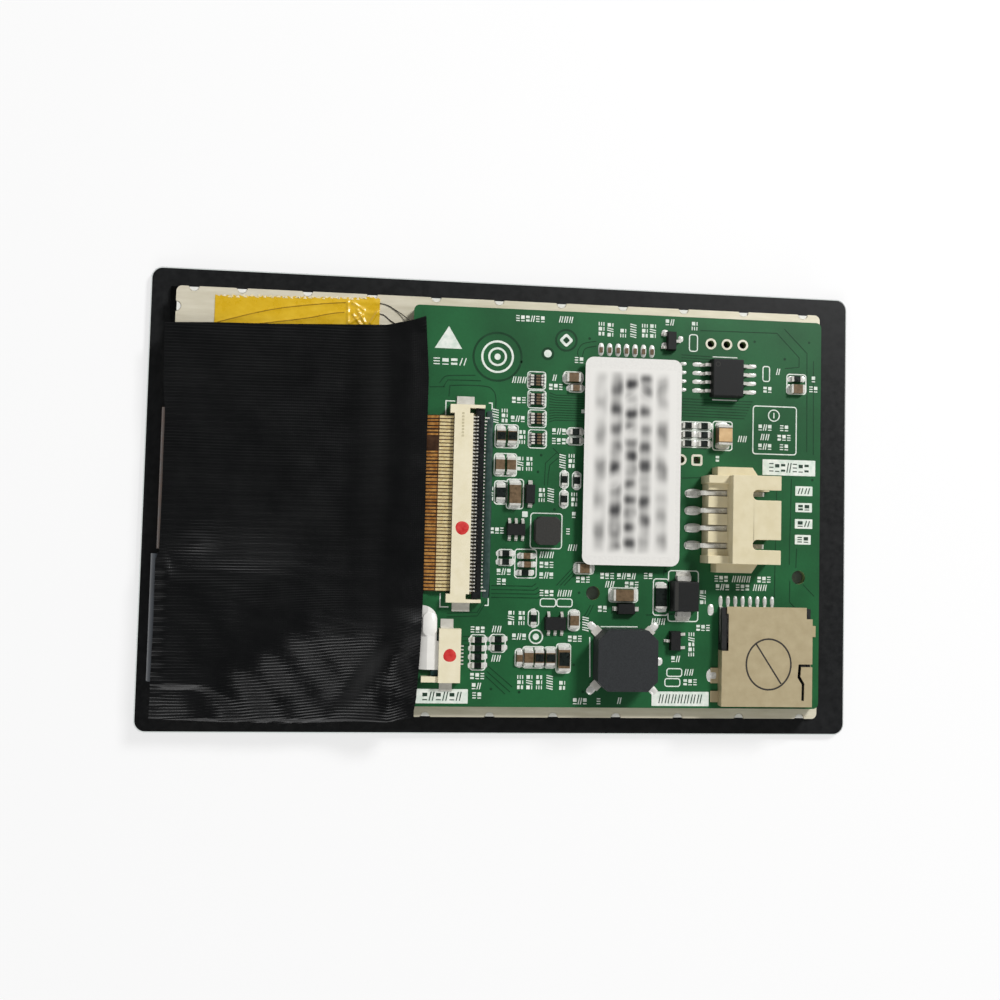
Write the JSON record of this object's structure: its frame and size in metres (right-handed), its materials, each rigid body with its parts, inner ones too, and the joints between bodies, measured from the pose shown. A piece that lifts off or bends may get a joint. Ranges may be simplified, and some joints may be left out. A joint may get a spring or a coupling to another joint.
{
  "type": "lcd display",
  "caption": "Touch display module lying face down: printed cover glass, display cell, backlight tray, taped flex circuits and a driver board with flex, power and card connectors.",
  "frame": {"origin": "centre of the cover glass's front face, which the module lies on", "axes": "+X along the long side towards the power header, +Y up the short side, +Z towards the back"},
  "size_m": [0.1036, 0.066, 0.0121],
  "materials": {
    "clear_glass": "polished",
    "border_ink": "smooth print",
    "clear_bond": "clear",
    "inner_glass": "polished",
    "flex_film": "coated film",
    "white_flex": "coated film",
    "foam": "matt foam",
    "polariser": "film",
    "white_plastic": "moulded",
    "film": "film",
    "tray_metal": "satin sheet",
    "amber_film": "tape",
    "cloth": "woven tape",
    "lead_cover": "insulation",
    "solder_mask": "solder mask",
    "black_epoxy": "moulded",
    "tin": "tinned",
    "label_paper": "matt",
    "ceramic_tan": "fired",
    "cream_plastic": "moulded",
    "shell_metal": "plated sheet",
    "buzzer_black": "moulded"
  },
  "bodies": {
    "module": {"cover_glass": "clear_glass", "border_print": "border_ink", "optical_adhesive": "clear_bond", "touch_sensor": "inner_glass", "touch_flex": "white_flex", "gasket": "foam", "front_polariser": "polariser", "colour_filter_glass": "inner_glass", "transistor_glass": "inner_glass", "driver_chip": "black_epoxy", "rear_polariser": "polariser", "display_flex": "flex_film", "mould_frame": "white_plastic", "prism_sheet_front": "film", "prism_sheet_rear": "film", "diffuser_sheet": "film", "light_guide": "film", "reflector_sheet": "white_plastic", "led_strip": "flex_film", "backlight_leds": "white_plastic", "back_tray": "tray_metal", "polyimide_tape": "amber_film", "backlight_leads": "lead_cover", "cloth_tape": "cloth", "board_tape": "foam", "circuit_board": "solder_mask", "controller_chip": "black_epoxy", "frame_memory_chip": "black_epoxy", "flash_chip": "black_epoxy", "small_chips": "black_epoxy", "chip_leads": "tin", "label": "label_paper", "inductor": "black_epoxy", "power_diode": "black_epoxy", "signal_diodes": "black_epoxy", "diode_leads": "tin", "chip_resistors": "black_epoxy", "resistor_networks": "black_epoxy", "chip_capacitors": "ceramic_tan", "chip_ends": "tin", "buzzer": "buzzer_black", "buzzer_tabs": "tin", "display_connector_housing": "cream_plastic", "display_connector_contacts": "tin", "touch_connector_housing": "cream_plastic", "touch_connector_contacts": "tin", "connector_nails": "tin", "header_housing": "cream_plastic", "header_pins": "tin", "card_socket_base": "black_epoxy", "card_socket_shell": "shell_metal", "card_socket_contacts": "tin", "card_spring": "tin"},
    "display_latch": {"display_connector_latch": "black_epoxy"},
    "touch_lock": {"touch_connector_slider": "black_epoxy"},
    "card_ejector": {"card_slider": "black_epoxy"}
  },
  "joints": [
    {"name": "display_latch_flip", "type": "hinge", "parent": "module", "child": "display_latch", "pos_m": [-0.00505, 0.0001, 0.0071], "axis": [0, -1, 0], "range_deg": [0, 90]},
    {"name": "touch_lock_slide", "type": "slide", "parent": "module", "child": "touch_lock", "axis": [-1, 0, 0], "range_m": [0, 0.0006]},
    {"name": "card_ejector_slide", "type": "slide", "parent": "module", "child": "card_ejector", "axis": [0, 1, 0], "range_m": [0, 0.0025], "stiffness_N_per_m": 300, "deforming": ["card_spring"]}
  ]
}
